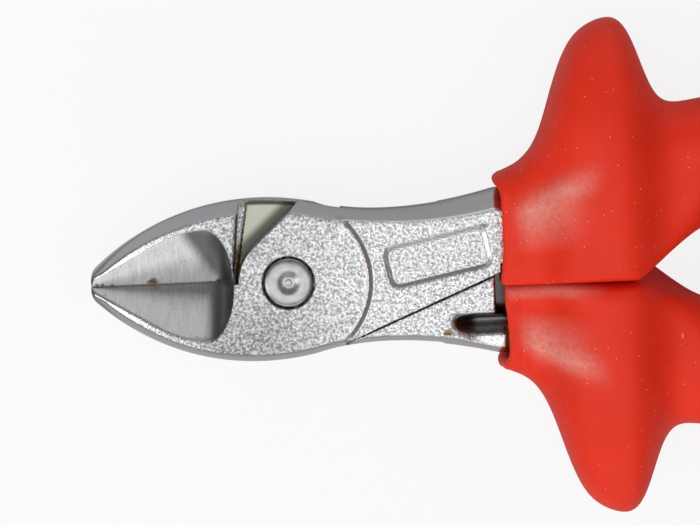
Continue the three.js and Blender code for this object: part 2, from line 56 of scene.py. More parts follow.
# Sizes in millimetres, in the frame of the part: the origin on the pivot, at the back of the joint.
MM = 0.001
TIP_X = -24.65
THICKNESS, MID_Z, EDGE_Z = 10.0, 5.0, 4.9
CREST_X, CREST_Y, OUTLINE_RADIUS = -3.5, 10.2, 30.5
NECK_X, NECK_Y, SHOULDER_X, SHOULDER_Y = 12.0, 8.3, 25.0, 10.0
FLANK_LEAN_FRONT, FLANK_LEAN_BACK, FLANK_WIDEST = 1.25, 0.9, 0.4
TAPER_X = -9.0
BEVEL_END_X = -10.4
STEP_Z, DISC_RADIUS = 9.6, 10.0
JAW_DISC, JAW_ANGLE = 6.2, 132.0
HANDLE_DISC, HANDLE_ANGLE = 9.9, -67.6
PAD_END_X, MOUTH_X, FACE_MOUTH_X = 25.5, 25.5, 26.7
SCOOP_X = 19.4
RIVET_HEAD, RIVET_SHAFT = 3.0, 2.3
TANG_END_X, GRIP_BODY_END_X = 126.0, 126.6
TANG_ROOT_X, LINED_X = 32.5, 29.4
EDGE_Y = 0.09
FRONT_BEVEL, FRONT_RUN_OUT, BACK_BEVEL, BACK_RUN_OUT = 36.0, 3.6, 62.0, 2.4
PANEL_X, PANEL_Y, PANEL_TURN, PANEL_DEPTH, PANEL_SLOPE = 18.6, 2.4, 11.5, 0.3, 2.0
PANEL_HALF_LENGTH, PANEL_HALF_WIDTH, PANEL_CORNER = 6.5, 2.7, 1.3
LAP_GAP, FOOT_HEIGHT, HANDLE_GAP = 0.2, 1.8, 0.06
BAR_Y, BAR_EXTRA, GROOVE_DEPTH = 4.9, 1.4, 3.75
NECK_WIDENING, SHOULDER_RUN_ON = 1.3, 0.7
MOUTH_SPINE_Y, MOUTH_INNER_Y, MOUTH_OUTER_Y, MOUTH_HEIGHT = 7.3, 0.15, 11.9, 6.8
LIP_ROUNDING, SCALLOP = 0.7, 1.2
GUARD_START_X, GUARD_END_X, GUARD_REACH, GUARD_RISE = 33.3, 44.5, 14.0, 4.8
COLLAR_END_X, LINER_ROOM, GRIP_END_LENGTH = 52.0, 1.3, 9.0


def smooth_step(value, low, high):
    share = np.clip((value - low) / (high - low), 0, 1)
    return share * share * (3 - 2 * share)


def close_to(offset, full, none):
    """1 where an offset is small, falling to 0 further off."""
    return 1 - smooth_step(np.abs(offset), full, none)


def round_max(a, b, radius):
    """The higher of two distances, with the edge between them rounded."""
    near = np.maximum(radius - np.abs(a - b), 0)
    return np.maximum(a, b) + near * near / (4 * radius)


def round_min(a, b, radius):
    return -round_max(-a, -b, radius)


def through(*stations):
    """A smooth function of x through the stations, which never overshoots them."""
    xs, ys = (np.array(column, float) for column in zip(*stations))
    rise = np.diff(ys) / np.diff(xs)
    before, after = np.append(rise[0], rise), np.append(rise, rise[-1])
    product_of = before * after
    slope = np.where(product_of > 0, 2 * product_of / np.where(product_of > 0, before + after, 1), 0)

    def at(x):
        x = np.clip(x, xs[0], xs[-1])
        i = np.clip(np.searchsorted(xs, x, side="right") - 1, 0, len(xs) - 2)
        span = xs[i + 1] - xs[i]
        t = (x - xs[i]) / span
        pull = span * t * (1 - t) * ((1 - t) * slope[i] - t * slope[i + 1])
        return ys[i] + (ys[i + 1] - ys[i]) * t * t * (3 - 2 * t) + pull

    return at


def turned_over(x, y, z):
    """The matching point of the other half."""
    return x, -y, THICKNESS - z


# The shut head. Each function is a distance in millimetres, negative inside.


def half_width(x):
    hollow_rise = NECK_Y - CREST_Y + OUTLINE_RADIUS
    to_neck = NECK_X - CREST_X
    hollow = (to_neck**2 + hollow_rise**2 - OUTLINE_RADIUS**2) / (2 * (OUTLINE_RADIUS - hollow_rise))
    turn_x = CREST_X + to_neck * OUTLINE_RADIUS / (OUTLINE_RADIUS + hollow)
    rise = SHOULDER_Y - NECK_Y
    shoulder = ((SHOULDER_X - NECK_X) ** 2 + rise**2) / (2 * rise)
    crown = CREST_Y - OUTLINE_RADIUS + np.sqrt(np.maximum(OUTLINE_RADIUS**2 - (x - CREST_X) ** 2, 0))
    from_neck = np.minimum(x, SHOULDER_X + SHOULDER_RUN_ON) - NECK_X
    bend = np.where(x <= NECK_X, hollow, shoulder)
    neck = NECK_Y + bend - np.sqrt(np.maximum(bend**2 - from_neck**2, 0))
    return np.where(x <= turn_x, crown, neck)


def taper(x, radius, angle):
    distance = np.maximum(0, TAPER_X - x)
    bent = np.minimum(distance, radius * math.sin(math.radians(angle)))
    straight = (distance - bent) * math.tan(math.radians(angle))
    return radius - np.sqrt(radius**2 - bent**2) + straight


def front_z(x):
    return THICKNESS - taper(x, 20, 22)


def back_z(x):
    return taper(x, 40, 8)


def flank(x, y, z):
    front, back = front_z(x), back_z(x)
    widest = back + FLANK_WIDEST * (front - back)
    half = half_width(x)
    up = np.clip((z - widest) / (front - widest), 0, 1.3)
    down = np.clip((widest - z) / (widest - back), 0, 1.3)
    wide = np.interp(x, [11, 27], [0, NECK_WIDENING])
    front_lean = np.minimum(FLANK_LEAN_FRONT, 0.4 * half) + np.where(y > 0, wide, 0)
    back_lean = np.minimum(FLANK_LEAN_BACK, 0.4 * half) + np.where(y < 0, wide, 0)
    lean = front_lean * up**2 + back_lean * down**2
    steep = np.clip((CREST_X - x) / OUTLINE_RADIUS, 0, 0.8)
    return (np.abs(y) - half + lean) * np.sqrt(1 - steep**2)


def blank(x, y, z):
    rounding = np.interp(x, [-24, -15, -7], [0.12, 0.2, 0.5])
    body = round_max(flank(x, y, z), z - front_z(x), rounding)
    body = round_max(body, back_z(x) - z, rounding)
    return round_max(body, TIP_X - x, 0.6)


def valley(x, y, z, face, angle, run_out):
    """The V that the grinding wheel leaves, with its hollow run-out."""
    turn = np.clip((x - BEVEL_END_X) / run_out, 0, 1)
    past = np.maximum(x - BEVEL_END_X - run_out, 0)
    lifted = 1 - np.sqrt(np.maximum(1 - turn**2, 0))
    slope = math.tan(math.radians(angle))
    side = 1 if face > MID_Z else -1
    bottom = abs(EDGE_Z - face) * lifted + 5 * past
    return (bottom + np.abs(y) * slope - side * (z - EDGE_Z)) * math.cos(math.radians(angle))


def front_valley(x, y, z):
    return valley(x, y, z, THICKNESS, FRONT_BEVEL, FRONT_RUN_OUT)


def back_valley(x, y, z):
    return valley(x, y, z, 0, BACK_BEVEL, BACK_RUN_OUT)


def step_cut(x, y, z):
    wall = (DISC_RADIUS + 1.2 * (THICKNESS - z) - np.hypot(x, y)) * 0.64
    return round_max(round_max(wall, STEP_Z - z, 0.3), -x, 0.1)


def panel_edge(x, y):
    """Distance to the outline of the bare panel on the neck, seen from the front."""
    turn = math.radians(PANEL_TURN)
    along = (x - PANEL_X) * math.cos(turn) + (y - PANEL_Y) * math.sin(turn)
    across = (y - PANEL_Y) * math.cos(turn) - (x - PANEL_X) * math.sin(turn)
    a = np.abs(along) - PANEL_HALF_LENGTH + PANEL_CORNER
    b = np.abs(across) - PANEL_HALF_WIDTH + PANEL_CORNER
    return np.hypot(np.maximum(a, 0), np.maximum(b, 0)) + np.minimum(np.maximum(a, b), 0) - PANEL_CORNER


def panel_cut(x, y, z):
    wall = (panel_edge(x, y) + PANEL_SLOPE * (STEP_Z - z)) * 0.45
    return round_max(wall, STEP_Z - PANEL_DEPTH - z, 0.18)


def scoop_cut(x, y, z):
    """The groove beside the handle bar, deepening towards the grip."""
    depth = GROOVE_DEPTH * smooth_step(x, SCOOP_X - 0.4, SCOOP_X + 4.2)
    across = smooth_step(-y, 4.6, 5.8) * (1 - 0.62 * smooth_step(-y, 5.9, 7.8))
    return (THICKNESS + 0.15 - depth * across - z) * 0.55


def jaw_side(x, y, radius, angle, edge):
    """Left of a disc and of the straight flank that leaves it, seen from the front."""
    turn = math.radians(angle)
    outwards = x * math.cos(turn) + y * math.sin(turn)
    along = x * math.sin(turn) - y * math.cos(turn)
    return np.maximum(radius - np.where(along > 0, outwards, np.hypot(x, y)), edge - y)


def handle_side(x, y, radius):
    turn = math.radians(HANDLE_ANGLE)
    outwards = x * math.cos(turn) + y * math.sin(turn)
    return np.maximum(radius - outwards, radius * math.cos(turn) - x)


def near_space(x, y, z):
    relief = np.maximum(FACE_MOUTH_X - 0.3 - x, y - 1.2)
    handle = np.minimum(handle_side(x, y, HANDLE_DISC), relief)
    open_side = np.maximum(-jaw_side(x, y, JAW_DISC, JAW_ANGLE, EDGE_Y), -handle)
    return np.maximum(MID_Z + LAP_GAP / 2 - z, open_side)


def far_foot(x, y, z):
    side = jaw_side(x, y, JAW_DISC + 0.3, JAW_ANGLE + 37.5, -EDGE_Y)
    return round_max(side, np.abs(z - MID_Z) - FOOT_HEIGHT, 0.3)


def far_wall(x, y, z):
    side = jaw_side(x, y, JAW_DISC + 0.6, JAW_ANGLE + 41.5, -EDGE_Y)
    return np.maximum(side, MID_Z - FOOT_HEIGHT - z)


def far_handle(x, y, z):
    side = np.maximum(handle_side(x, y, HANDLE_DISC + HANDLE_GAP), y + 0.15)
    side = np.maximum(side, 10.9 - np.hypot(x, y))
    end = PAD_END_X + BAR_EXTRA * smooth_step(-y, BAR_Y, BAR_Y + 0.4)
    return np.maximum(side, np.maximum(x - end, MID_Z - FOOT_HEIGHT - z))


spine = through(
    (SCOOP_X, 6.4), (MOUTH_X, MOUTH_SPINE_Y), (40, 9.8), (51.5, 12.4), (85, 16.7), (TANG_END_X, 12.4)
)
tang_width = through((SCOOP_X, 2.1), (MOUTH_X, 2.4), (40, 3.5), (85, 3.5), (TANG_END_X, 2.8))
tang_thickness = through((FACE_MOUTH_X, 1.8), (40, 3.2))


def tang(x, y, z):
    width, thick = tang_width(x), tang_thickness(x)
    squared = ((y - spine(x)) / width) ** 4 + ((z - MID_Z) / thick) ** 4
    return np.maximum((squared**0.25 - 1) * thick, SCOOP_X - x)


def rivet_hole(x, y, z):
    """The bore for the rivet, with the dark ring of its countersunk mouths."""
    depth = np.minimum(z, THICKNESS - z)
    radius = np.interp(depth, [0, 0.55, 0.6, 0.9, 1.8], [3.27, 3.24, 3.1, 3.1, 2.4])
    return (np.hypot(x, y) - radius) * 0.8


def cut_blank(x, y, z):
    body = round_max(blank(x, y, z), -front_valley(x, y, z), 0.07)
    body = round_max(body, -back_valley(x, y, z), 0.07)
    for point in ((x, y, z), turned_over(x, y, z)):
        body = round_max(body, -step_cut(*point), 0.25)
        body = round_max(body, -panel_cut(*point), 0.2)
        body = round_max(body, -scoop_cut(*point), 0.4)
    return body


def lever(x, y, z, rear):
    body = cut_blank(x, y, z)
    own = turned_over(x, y, z) if rear else (x, y, z)
    far = turned_over(*own)
    keen = np.interp(x, [-9, -7, 9, 12], [0.03, 0.14, 0.14, 0.26])
    rim = smooth_step(x, -8, -6.5) * (1 - smooth_step(x, 1, 4)) * smooth_step(-own[1], 4, 6)
    keen = keen + 0.9 * rim
    solid = round_max(body, near_space(*own), keen)
    solid = np.minimum(solid, round_max(body, far_wall(*far), np.where(x < -9, 0.03, 0.7)))
    solid = np.minimum(solid, round_max(body, far_foot(*far), np.where(x < -9, 0.03, 0.9)))
    solid = np.minimum(solid, round_max(body, far_handle(*far), np.interp(x, [14, 22], [0.2, 0.45])))
    solid = round_min(solid, tang(*own), 0.9)
    return round_max(solid, -rivet_hole(x, y, z), 0.1)


def surface_net(distance, low, high, pitch):
    """Points and four-sided faces on the zero surface of a distance."""
    axes = [np.arange(a, b, pitch) for a, b in zip(low, high)]
    x, y, z = np.meshgrid(*axes, indexing="ij", sparse=True)
    field = distance(x, y, z).astype(np.float32)
    inside = field < 0
    shape = [n - 1 for n in field.shape]
    corners = list(product((0, 1), repeat=3))
    cells_of = {c: tuple(slice(c[k], c[k] + shape[k]) for k in range(3)) for c in corners}
    count = sum(inside[cells_of[c]].astype(np.uint8) for c in corners)
    cells = np.argwhere((count > 0) & (count < 8))
    index = np.full(shape, -1)
    index[tuple(cells.T)] = np.arange(len(cells))
    total, hits = np.zeros((len(cells), 3)), np.zeros(len(cells))
    for a, b in product(corners, corners):
        if sum(b) - sum(a) == 1 and all(q >= p for p, q in zip(a, b)):
            at_a, at_b = field[tuple((cells + a).T)], field[tuple((cells + b).T)]
            crossed = (at_a < 0) != (at_b < 0)
            share = at_a[crossed] / (at_a[crossed] - at_b[crossed])
            total[crossed] += np.array(a) + share[:, None] * (np.array(b) - np.array(a))
            hits += crossed
    points = np.array([axis[0] for axis in axes]) + pitch * (cells + total / hits[:, None])
    faces = []
    for axis in range(3):
        one, two = (axis + 1) % 3, (axis + 2) % 3
        step = np.eye(3, dtype=int)
        first = np.take(inside, range(inside.shape[axis] - 1), axis)
        second = np.take(inside, range(1, inside.shape[axis]), axis)
        edges = np.argwhere(first != second)
        inner = (edges[:, [one, two]] > 0).all(1)
        inner &= (edges[:, one] < shape[one]) & (edges[:, two] < shape[two])
        edges = edges[inner]
        around = [edges - step[one] - step[two], edges - step[two], edges, edges - step[one]]
        quad = np.stack([index[tuple(cell.T)] for cell in around], 1)
        outwards = first[tuple(edges.T)]
        faces.append(np.where(outwards[:, None], quad, quad[:, ::-1]))
    return points, np.concatenate(faces)


def gradient(distance, points, reach=0.03):
    steps = np.eye(3) * reach
    ahead = [distance(*(points + s).T) - distance(*(points - s).T) for s in steps]
    return np.stack(ahead, 1) / (2 * reach)


def settled(distance, points, pitch):
    """Points drawn onto the surface, and the directions that the surface faces there."""
    for _ in range(4):
        slope = gradient(distance, points)
        size = np.maximum((slope**2).sum(1), 0.05)
        move = np.clip(distance(*points.T) / size, -pitch, pitch)
        points = points - slope * move[:, None]
    slope = gradient(distance, points)
    return points, slope / np.maximum(np.linalg.norm(slope, axis=1, keepdims=True), 1e-6)


def grain(points, size, shift):
    return np.array([noise.noise(p) for p in (points / size + shift).tolist()])


def piece(name, points, faces, attributes, body, node, material):
    """A smooth mesh that stands for a node of the part."""
    mesh = bpy.data.meshes.new(name)
    mesh.from_pydata((points * MM).tolist(), [], faces)
    mesh.polygons.foreach_set("use_smooth", np.ones(len(mesh.polygons), bool))
    for key, values in attributes.items():
        mesh.attributes.new(key, "FLOAT", "POINT").data.foreach_set("value", values.astype(np.float32))
    mesh.materials.append(material)
    made = bpy.data.objects.new(name, mesh)
    bpy.context.scene.collection.objects.link(made)
    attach(made, body)
    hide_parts(node)
    return made


def skin_faces(rows, sides):
    """Faces over rows of points, each row a ring, with both ends closed by a fan."""
    row, side = np.meshgrid(np.arange(rows - 1), np.arange(sides), indexing="ij")
    a = (row * sides + side).ravel()
    b = (row * sides + (side + 1) % sides).ravel()
    quads = np.stack([a, b, b + sides, a + sides], 1).tolist()
    last = (rows - 1) * sides
    return quads + [list(range(sides))[::-1], list(range(last, last + sides))]


def ring_of(x, centre, section, sides):
    """A rounded ring at x, with its own reach and squareness inwards and outwards."""
    inner, outer, height, inner_square, outer_square, lean = section
    turn = 2 * np.pi * np.arange(sides) / sides
    inwards = np.cos(turn) < -1e-9
    power = 2 / np.where(inwards, inner_square, outer_square)
    across = np.abs(np.cos(turn)) ** power
    up = height * np.sign(np.sin(turn)) * np.abs(np.sin(turn)) ** power
    y = np.where(inwards, centre - (inner + lean * up) * across, centre + outer * across)
    return np.stack([np.full(sides, float(x)), y, MID_Z + up], 1)


def tang_ring(x, allowance, sides, at=None):
    at = x if at is None else at
    width, thick = float(tang_width(at)) + allowance, float(tang_thickness(at)) + allowance
    return ring_of(x, float(spine(at)), (width, width, thick, 4, 4, 0), sides)


def spot(points, place, size, seed):
    """A ragged spot round a place on the front, from 0 to 1."""
    offset = (points - place) / size
    ragged = 0.35 * grain(points, 0.3, seed)
    return smooth_step(1 - np.linalg.norm(offset, axis=1) + ragged, 0, 0.45)


def lever_surfaces(points, facing):
    """How far each point of a lever belongs to each kind of surface, and where light and shade are painted,
    from 0 to 1.
    """
    x, y, z = points.T
    off_bevels = np.minimum(np.abs(front_valley(x, y, z)), np.abs(back_valley(x, y, z)))
    ground = close_to(off_bevels, 0.03, 0.12)
    polished = close_to(flank(x, y, z), 0.04, 0.22) * (1 - ground)
    sliding = close_to(z - MID_Z, 0.2, 0.5) * (1 - ground)
    steep = close_to(facing[:, 2], 0.35, 0.8)
    past_middle = np.where(z > MID_Z, -y, y)
    groove = smooth_step(past_middle, 4.6, 4.9) * smooth_step(x, SCOOP_X, SCOOP_X + 1.5)
    groove_wall = groove * (1 - smooth_step(past_middle, 6.0, 7.0))
    panel_wall, step_wall, disc_rim_highlight = np.zeros((3, len(x)))
    for a, b, c in ((x, y, z), turned_over(x, y, z)):
        past_disc, on_face = np.hypot(a, b) - DISC_RADIUS, c > 9
        panel_wall += close_to(panel_edge(a, b) + PANEL_SLOPE * PANEL_DEPTH / 2, 0.24, 0.4) * on_face
        step_wall += close_to(past_disc - 0.3, 0.2, 0.36) * on_face * (a > 1)
        disc_rim_highlight += close_to(past_disc + 0.28, 0.08, 0.26) * on_face * (a > 1)

    plain = (1 - ground) * (1 - polished)
    forged = plain * (1 - sliding) * (1 - 0.8 * steep) * (1 - 0.9 * groove_wall)
    forged = forged * (1 - 0.8 * np.maximum(panel_wall, step_wall)) * (1 - 0.5 * groove)
    forged = forged * (0.25 + 0.75 * smooth_step(x, -23, -13))
    # Painted highlights: the front faces towards the tip, and a thin line just inside the edge of the disc,
    # are painted lighter.
    tip_highlight = plain * (1 - smooth_step(x, -21, -12)) * (z > MID_Z)
    # Painted shade: the jaw root and the disc are painted darker, more so towards -y.
    round_jaw = (1 - smooth_step(x, -6, 14)) * smooth_step(x, -17, -8)
    return {
        "ground": ground,
        "polished": polished,
        "sliding": sliding,
        "forged": forged,
        "groove_wall": groove_wall,
        "panel_wall": panel_wall,
        "step_wall": step_wall,
        "painted_highlight": np.maximum(tip_highlight, 0.85 * disc_rim_highlight),
        "painted_jaw_shade": round_jaw * (0.85 + 0.6 * smooth_step(-y, 0, 7)),
    }


def lever_stains(points, rear):
    """Grime by the jaw root and the handle bar, and rust along the cutting edge."""
    if not rear:
        return np.zeros(len(points)), 0.7 * spot(points, (-16.5, -0.4, 5.2), (0.6, 0.4, 0.8), 8.2)
    x, y, z = points.T
    ledge = np.exp(-(((x + 6.3) / 0.55) ** 2)) * smooth_step(y, 0.2, 1.2) * (1 - smooth_step(y, 3.2, 6))
    grime = ledge * smooth_step(z, 4, 5) * (1 - smooth_step(z, 7.6, 8.6))
    grime = np.maximum(grime, spot(points, (19.5, -7.1, 9.4), (0.7, 0.45, 2.0), 5.5))
    grime = np.maximum(grime, 0.7 * spot(points, (19.3, -3.5, 10.0), (0.35, 0.25, 0.8), 1.5))
    rust = spot(points, (-16.9, 0.35, 5.2), (0.85, 0.6, 0.9), 2.2)
    for place in (-23.9, -23.2, -22.0):
        rust = np.maximum(rust, 0.9 * spot(points, (place, 0.1, 5.0), (0.28, 0.3, 0.6), 4.4))
    return grime, rust


def lever_shade(points, rear, kind):
    """Where corners, gaps and run-outs are dark, and where the floor of the notch is olive."""
    x, y, z = points.T
    _, far_y, far_z = (x, y, z) if rear else turned_over(x, y, z)
    notch = kind["sliding"] * smooth_step(far_y, 0, 0.5) * (1 - smooth_step(x, 3, 5))
    to_disc = jaw_side(x, far_y, JAW_DISC, JAW_ANGLE, EDGE_Y)
    pad_end = smooth_step(x, PAD_END_X - 0.2, PAD_END_X + 0.2) * (far_y < 0.4) * (far_y > -BAR_Y)
    pad_end = pad_end * smooth_step(far_z, 4, 5) * (1 - smooth_step(far_z, 9.0, 9.5))
    edge = close_to(y, 0.06, 0.2) * kind["ground"] * smooth_step(z, 4.0, 4.8)
    start = np.where(y > 0, -9.3 - 0.62 * y, -9.9 + 0.1 * y)
    run_out = kind["ground"] * smooth_step(x - start, -0.6, 1.6) * (z > MID_Z - 0.5)
    dark = [
        0.95 * notch * close_to(to_disc, 0.5, 1.7),
        0.9 * kind["groove_wall"],
        0.5 * kind["sliding"] * (1 - notch),
        0.97 * pad_end,
        0.8 * edge,
        0.88 * run_out,
        0.13 * kind["panel_wall"] + 0.2 * kind["step_wall"],
    ]
    if not rear:
        # Darker at a ragged spot by the upper right of the panel.
        dark.append(0.75 * spot(points, (24.3, 6.1, 9.5), (0.7, 0.32, 0.8), 6.1))
    return np.max(dark, axis=0), 0.85 * notch


def lever_stem(rear):
    """Points and faces of the tang inside the grip."""
    sides, stations = 32, np.linspace(TANG_ROOT_X, TANG_END_X, 30)
    points = np.concatenate([tang_ring(x, 0, sides) for x in stations])
    if rear:
        points = np.stack(turned_over(*points.T), 1)
    return points, skin_faces(len(stations), sides)


def lever_piece(node, body, rear, material):
    pitch = 0.17

    def distance(x, y, z):
        return lever(x, y, z, rear)

    side = -1 if rear else 1
    low_y, high_y = sorted((-10.9 * side, 13.0 * side))
    points, faces = surface_net(distance, (-24.9, low_y, -0.5), (33.5, high_y, 10.6), pitch)
    points, facing = settled(distance, points, pitch)
    kind = lever_surfaces(points, facing)
    pebble = grain(points, 0.55, 3.1) + 0.7 * grain(points, 0.3, 11.7)
    height = kind["forged"] * (0.046 * pebble + 0.02 * grain(points, 1.7, 29.3))
    height += 0.006 * grain(points, 2.6, 7.7) * (kind["polished"] + kind["sliding"])
    points = points + facing * height[:, None]

    fields = {key: kind[key] for key in ("forged", "ground", "polished", "painted_highlight", "painted_jaw_shade")}
    fields["grime"], fields["rust"] = lever_stains(points, rear)
    fields["shade"], fields["olive"] = lever_shade(points, rear, kind)
    stem, stem_faces = lever_stem(rear)
    fields = {key: np.append(values, np.zeros(len(stem))) for key, values in fields.items()}
    faces = faces.tolist() + [[len(points) + i for i in face] for face in stem_faces]
    points = np.concatenate([points, stem])
    return piece(node + "_forging", points, faces, fields, body, node, material)


def rivet_piece(material):
    """The rivet: flush head at the back, crowned ring and dish with its pip at the front."""
    head, shaft, top = RIVET_HEAD, RIVET_SHAFT, THICKNESS
    lower = [(0.02, 0), (1.5, 0), (head - 0.15, 0), (head - 0.04, 0.05), (head, 0.15), (head, 0.8)]
    middle = [(shaft, 1.7), (shaft, 5), (shaft, top - 1.7), (head, top - 0.8), (head, top - 0.3)]
    crown = [
        (1.6 + 1.4 * math.cos(a), top - 0.3 + 0.4 * math.sin(a) ** 0.8)
        for a in np.linspace(0.08, 1.45, 16)
    ]
    dish = [(1.74 - 1.3 * s, top - 0.05 + 0.15 * math.cos(math.pi * s)) for s in np.linspace(0.05, 1, 16)]
    pip = [(0.42 * math.cos(a) + 0.01, top - 0.2 + 0.07 * math.sin(a)) for a in np.linspace(0.1, 1.5, 8)]
    profile = np.array(lower + middle + crown + dish + pip)
    sides = 128
    turn = -2 * np.pi * np.arange(sides) / sides
    rings = [np.stack([r * np.cos(turn), r * np.sin(turn), np.full(sides, h)], 1) for r, h in profile[::-1]]
    faces = skin_faces(len(rings), sides)
    return piece("rivet_turned", np.concatenate(rings), faces, {}, "front_half", "pivot_rivet", material)


# The grips, with the sections of the part and a finer lip and surface.
GRIP_SIDES = 144
grip_outer = through((MOUTH_X, MOUTH_OUTER_Y), (51.5, 20.3), (85, 24.2), (GRIP_BODY_END_X, 19.4))
grip_inner = through((43, MOUTH_INNER_Y), (51.5, 4.4), (85, 9.4), (GRIP_BODY_END_X, 5.4))
grip_height = through((MOUTH_X, MOUTH_HEIGHT), (51.5, 7.8), (85, 8.4), (GRIP_BODY_END_X, 7.2))
parting_lean = through((43, 1.97), (51.5, 0))
inner_square = through((MOUTH_X, 11), (42, 11), (51.5, 2.7))
outer_square = through((MOUTH_X, 4.2), (40, 2.4), (51.5, 2.7))


def guard(x):
    """The rise of the hand guard along the grip, from 0 to 1."""
    return 1 / (1 + np.exp((GUARD_START_X - x) / 1.3)) / (1 + np.exp((x - GUARD_END_X) / 1.1))


def scalloped(ring):
    """The mouth stands back over the faces of the neck, and this fades along the collar."""
    outwards = np.maximum(0, np.cos(2 * np.pi * np.arange(len(ring)) / len(ring)))
    fade = np.clip((GUARD_START_X - ring[:, 0]) / (GUARD_START_X - MOUTH_X), 0, 1)
    wave = 0.4 * smooth_step(ring[:, 1], 3.5, 6.5) * (ring[:, 2] < MID_Z)
    wave = wave - 0.4 * (1 - smooth_step(ring[:, 1], 0.2, 1.6))
    ring[:, 0] += (SCALLOP - outwards**2 + wave) * fade
    return ring


def skin_ring(x, at=None, scale=1.0):
    at = x if at is None else at
    centre, rise = float(spine(at)), guard(at)
    height = grip_height(at) + GUARD_RISE * rise
    section = (
        scale * (centre - grip_inner(at)),
        scale * (grip_outer(at) + GUARD_REACH * rise - centre),
        scale * height,
        inner_square(at),
        outer_square(at),
        parting_lean(at) * (1 - 0.26 * rise) / height,
    )
    return scalloped(ring_of(x, centre, section, GRIP_SIDES))


def pocket_ring(x):
    inner_wall, outer_wall, lean = 0.7, 1.1, 0.29
    inner = MOUTH_SPINE_Y - MOUTH_INNER_Y - inner_wall
    outer = MOUTH_OUTER_Y - MOUTH_SPINE_Y - outer_wall
    section = (inner, outer, MOUTH_HEIGHT - outer_wall, 6, 6, lean)
    return scalloped(ring_of(x, MOUTH_SPINE_Y, section, GRIP_SIDES))


def lip_rings():
    """The round lip, from the pocket over the rim to the skin."""
    inner, outer = pocket_ring(MOUTH_X + LIP_ROUNDING), skin_ring(MOUTH_X + LIP_ROUNDING)
    rings = []
    for turn in np.linspace(0, np.pi, 13)[1:-1]:
        ring = inner + (outer - inner) * (1 - np.cos(turn)) / 2
        ring[:, 0] -= LIP_ROUNDING * np.sin(turn)
        rings.append(ring)
    return rings


def grip_piece(node, body, lower, material):
    bore = [tang_ring(x, LINER_ROOM, GRIP_SIDES) for x in np.linspace(TANG_END_X, LINED_X, 16)]
    bore[0][:, 0] = TANG_END_X + LINER_ROOM
    lip_x = MOUTH_X + LIP_ROUNDING
    pocket = [pocket_ring(lip_x + 1), pocket_ring(lip_x)]
    along_collar = np.arange(lip_x, COLLAR_END_X, 0.35)
    along_handle = np.linspace(COLLAR_END_X, GRIP_BODY_END_X, 60)
    skin = [skin_ring(x) for x in (*along_collar, *along_handle)]
    last = math.radians(86)
    tail = [
        skin_ring(
            GRIP_BODY_END_X + GRIP_END_LENGTH * math.sin(t) / math.sin(last), GRIP_BODY_END_X, math.cos(t)
        )
        for t in np.linspace(0, last, 14)[1:]
    ]
    hidden = len(bore) + len(pocket)
    rings = np.array([*bore, *pocket, *lip_rings(), *skin, *tail])
    along = np.gradient(rings, axis=0)
    around = np.roll(rings, -1, axis=1) - np.roll(rings, 1, axis=1)
    facing = np.cross(around, along)
    facing /= np.maximum(np.linalg.norm(facing, axis=2, keepdims=True), 1e-6)
    x, y, z = rings[..., 0], rings[..., 1], rings[..., 2]
    outside = np.zeros(rings.shape[:2])
    outside[hidden + 8 :] = 1
    collar = outside * (1 - smooth_step(x, 34, 40))
    front, back = smooth_step(z - MID_Z, 2, 5), smooth_step(MID_Z - z, 2, 5)

    def ridge(start, end, width):
        """A soft crest along a line over the grip."""
        slope = (end[1] - start[1]) / (end[0] - start[0])
        off = (y - start[1] - slope * (x - start[0])) / math.hypot(1, slope)
        return np.exp(-((off / width) ** 2)) * smooth_step(x, start[0] - 2, start[0] + 1)

    hollow = ridge((27, 4.5), (36, 4.5), 1.7) * back
    crease = np.exp(-(((x - 28.7) / 0.6) ** 2)) * (front + back) * smooth_step(y, 1, 3)
    crest = ridge((29.2, 7.3), (36.2, 11.0), 1.5) * front + ridge((29.5, 8.0), (35.6, 10.6), 1.5) * back
    strip = ridge((27, 1.9), (34, 1.7), 0.8) * back
    height = collar * (0.6 * crest + 0.2 * strip - 0.55 * hollow - 0.28 * crease)
    # Painted sheen: the crests and the strip under the parting line are painted paler.
    painted_sheen = collar * np.maximum(crest, 0.8 * strip)
    points = (rings + facing * height[..., None]).reshape(-1, 3)
    if lower:
        points = np.stack(turned_over(*points.T), 1)
    faces, fields = skin_faces(len(rings), GRIP_SIDES), {"painted_sheen": painted_sheen.ravel()}
    return piece(node + "_moulding", points, faces, fields, body, node, material)


# Materials


class Wire:
    """A shader socket that can be used in sums."""

    def __init__(self, finish, socket):
        self.finish, self.socket = finish, socket

    def maths(self, operation, *others):
        sockets = dict(zip(("0", "1", "2"), (self, *others)))
        return self.finish.node("Math", {"operation": operation}, **sockets)

    def __add__(self, other):
        return self.maths("ADD", other)

    def __sub__(self, other):
        return self.maths("SUBTRACT", other)

    def __mul__(self, other):
        return self.maths("MULTIPLY", other)

    def __rsub__(self, other):
        return self * -1.0 + other

    __radd__ = __add__
    __rmul__ = __mul__

    def step(self, low, high):
        """A smooth rise from 0 to 1 between two values."""
        settings = {"interpolation_type": "SMOOTHSTEP"}
        return self.finish.node("MapRange", settings, Value=self, From_Min=low, From_Max=high)


